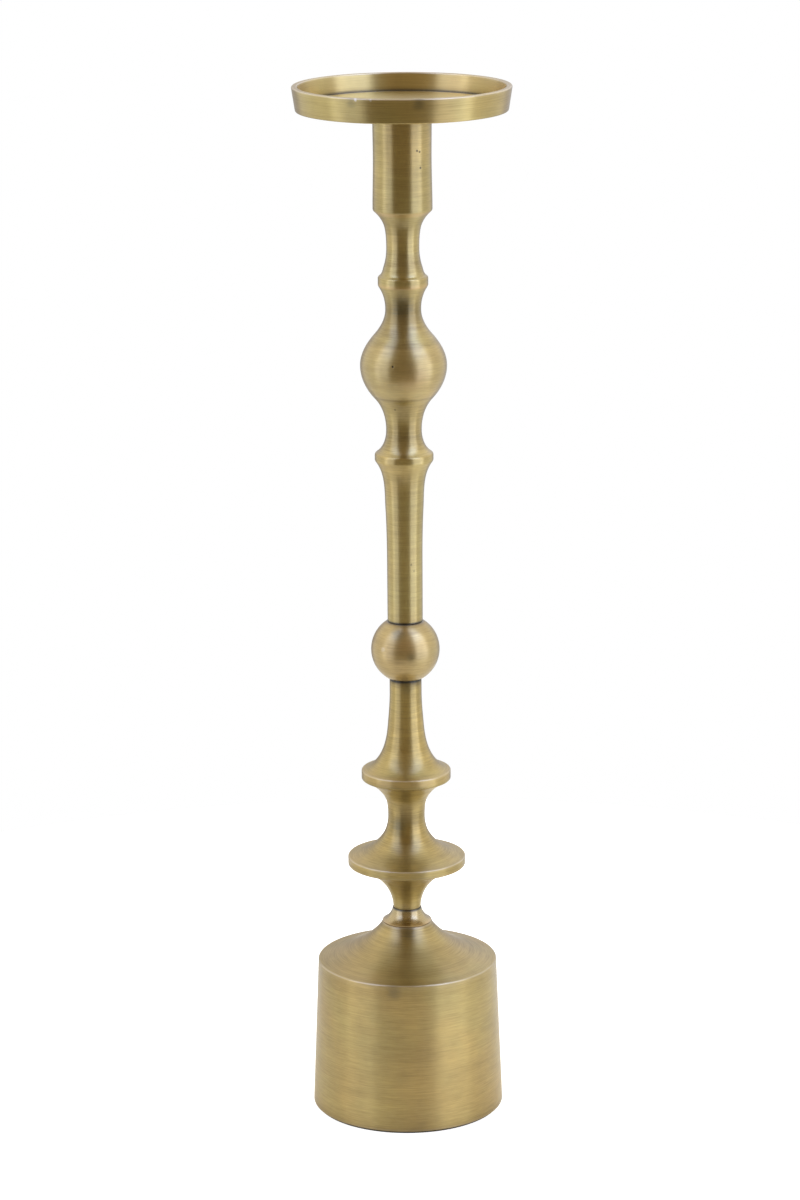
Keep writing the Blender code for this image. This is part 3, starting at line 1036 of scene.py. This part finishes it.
def make_world():
    """A large soft box on each side, a white sweep behind, and a dark warm room all round.

    The camera itself sees plain white.
    """
    world = bpy.data.worlds.new("studio")
    bpy.context.scene.world = world
    world.use_nodes = True
    world.node_tree.nodes.clear()
    nodes = Nodes(world.node_tree)
    rad = math.radians
    x, y, z = nodes.split(nodes.add("ShaderNodeTexCoord").outputs["Generated"])
    azimuth = nodes.math("ARCTAN2", x, nodes.math("MULTIPLY", y, -1.0))
    height = nodes.math("ARCSINE", z)

    left = nodes.math("MULTIPLY", window(nodes, azimuth, LEFT_BOX), LEFT_POWER)
    boxes = nodes.math("MULTIPLY_ADD", window(nodes, azimuth, RIGHT_BOX), RIGHT_POWER, left)
    core = nodes.math("MULTIPLY", boxes, window(nodes, height, CORE_HEIGHTS))
    boxes = nodes.math("MULTIPLY", boxes, window(nodes, height, BOX_HEIGHTS))

    low = nodes.remap(height, rad(45), rad(68), 1.0, 0.0, smooth=True)
    right = nodes.remap(azimuth, rad(SWEEP_FROM), rad(SWEEP_TO), smooth=True)
    left = nodes.remap(azimuth, rad(-SWEEP_FROM), rad(-SWEEP_TO), smooth=True)
    sweep = nodes.math("MULTIPLY", right, SWEEP_RIGHT_POWER)
    sweep = nodes.math("MULTIPLY_ADD", left, SWEEP_LEFT_POWER, sweep)
    rise = nodes.remap(height, 0.0, rad(28), 0.9, 1.7, smooth=True)
    sweep = nodes.math("MULTIPLY", nodes.math("MULTIPLY", sweep, rise), low)

    fill = nodes.math("MULTIPLY", window(nodes, azimuth, RIGHT_FILL), RIGHT_FILL_POWER)
    fill = nodes.math("MULTIPLY_ADD", window(nodes, azimuth, LEFT_FILL), LEFT_FILL_POWER, fill)
    fill = nodes.math("MULTIPLY", fill, low)
    above = nodes.remap(height, rad(42), rad(60), 0.0, ABOVE_POWER, smooth=True)
    fill = nodes.math("MULTIPLY_ADD", nodes.remap(y, -0.1, 0.3), above, fill)

    total = nodes.background(
        ROOM_COLOUR, nodes.remap(height, rad(-12), rad(25), ROOM_LOW, ROOM_HIGH, smooth=True)
    )
    for colour, strength in (
        (BOX_COLOUR, boxes),
        (CORE_COLOUR, core),
        (FILL_COLOUR, fill),
        (SWEEP_COLOUR, sweep),
    ):
        total = nodes.both(total, nodes.background(colour, strength))
    mix = nodes.add("ShaderNodeMixShader")
    nodes.feed(mix.inputs[0], nodes.add("ShaderNodeLightPath").outputs["Is Camera Ray"])
    nodes.feed(mix.inputs[1], total)
    nodes.feed(mix.inputs[2], nodes.background(WHITE, 1.0))
    nodes.feed(nodes.add("ShaderNodeOutputWorld").inputs[0], mix.outputs[0])
    world.cycles.sampling_method = "MANUAL"
    world.cycles.sample_map_resolution = WORLD_MAP


def make_floor():
    """A plain pale disc that glows a little, warmer and dimmer close to the object."""
    material, nodes, shader = new_material("floor_pale")
    shader.inputs["Base Color"].default_value = (0.74, 0.71, 0.60, 1.0)
    shader.inputs["Roughness"].default_value = 0.9
    shader.inputs["Specular IOR Level"].default_value = 0.2
    seen = nodes.add("ShaderNodeLightPath").outputs["Is Camera Ray"]
    glow = nodes.add("ShaderNodeEmission")
    x, y, _ = nodes.split(nodes.place())
    side = nodes.remap(x, -0.2, 0.25, 0.21, 0.45)
    side = nodes.math("MULTIPLY", side, nodes.remap(y, -0.03, 0.12, 1.0, 0.72))
    side = nodes.math("MULTIPLY", side, nodes.remap(y, -0.34, -0.17, 0.45, 1.0))
    aside = nodes.remap(nodes.math("ABSOLUTE", x), 0.03, 0.15, smooth=True)
    tint = nodes.mix(aside, (1.0, 0.87, 0.60), (0.97, 0.95, 0.87))
    shown = nodes.math("MULTIPLY", seen, FLOOR_SHOWN)
    nodes.feed(glow.inputs["Color"], nodes.mix(seen, tint, WHITE))
    nodes.feed(glow.inputs["Strength"], nodes.math("MAXIMUM", side, shown))
    out = next(n for n in material.node_tree.nodes if n.type == "OUTPUT_MATERIAL")
    nodes.feed(out.inputs["Surface"], nodes.both(shader.outputs[0], glow.outputs[0]))
    shape = bmesh.new()
    bmesh.ops.create_circle(shape, cap_ends=True, segments=FLOOR_SIDES, radius=FLOOR_RADIUS)
    mesh = bpy.data.meshes.new("floor")
    shape.to_mesh(mesh)
    shape.free()
    mesh.materials.append(material)
    floor = bpy.data.objects.new("floor", mesh)
    floor.location.z = FLOOR_LEVEL
    bpy.context.scene.collection.objects.link(floor)


def make_camera():
    """Seen from 2.24 m away and 0.88 m up, aimed a little below the object's middle."""
    camera = bpy.data.cameras.new("camera")
    camera.lens = CAMERA_LENS
    camera.sensor_width = CAMERA_FILM
    camera.clip_end = CAMERA_FAR
    holder = bpy.data.objects.new("camera", camera)
    bpy.context.scene.collection.objects.link(holder)
    tilt = Matrix.Rotation(math.radians(90.0 - CAMERA_DIP), 4, "X")
    roll = Matrix.Rotation(math.radians(CAMERA_ROLL), 4, "Z")
    holder.matrix_world = Matrix.Translation(CAMERA_PLACE) @ tilt @ roll
    bpy.context.scene.camera = holder
    bpy.context.scene.view_settings.view_transform = "Standard"


def build():
    brass = {name: make_brass(name, **recipe) for name, recipe in BRASSES.items()}
    steel = make_steel("steel_zinc")
    threaded = make_steel("steel_threaded", THREAD_PITCH * MM)
    make_base(brass["brass_base"], brass["brass_shoulder"])
    make_collar(brass["brass_polished"])
    make_lower_stem(brass["brass_stem"], brass["brass_flare"])
    make_ball(brass["brass_satin"])
    make_column(brass["brass_column"], brass["brass_rubbed"])
    make_dish(brass["brass_dish"], brass["brass_inside"])
    make_stud(steel)
    make_felt(make_felt_material())
    make_washer(make_rubber())
    for node in ("rod_washer", "rod_lock_washer", "rod_nut"):
        repaint(node, steel)
    repaint("tie_rod", threaded)
    repaint("bottom_board", make_board())
    make_world()
    make_floor()
    make_camera()


build()
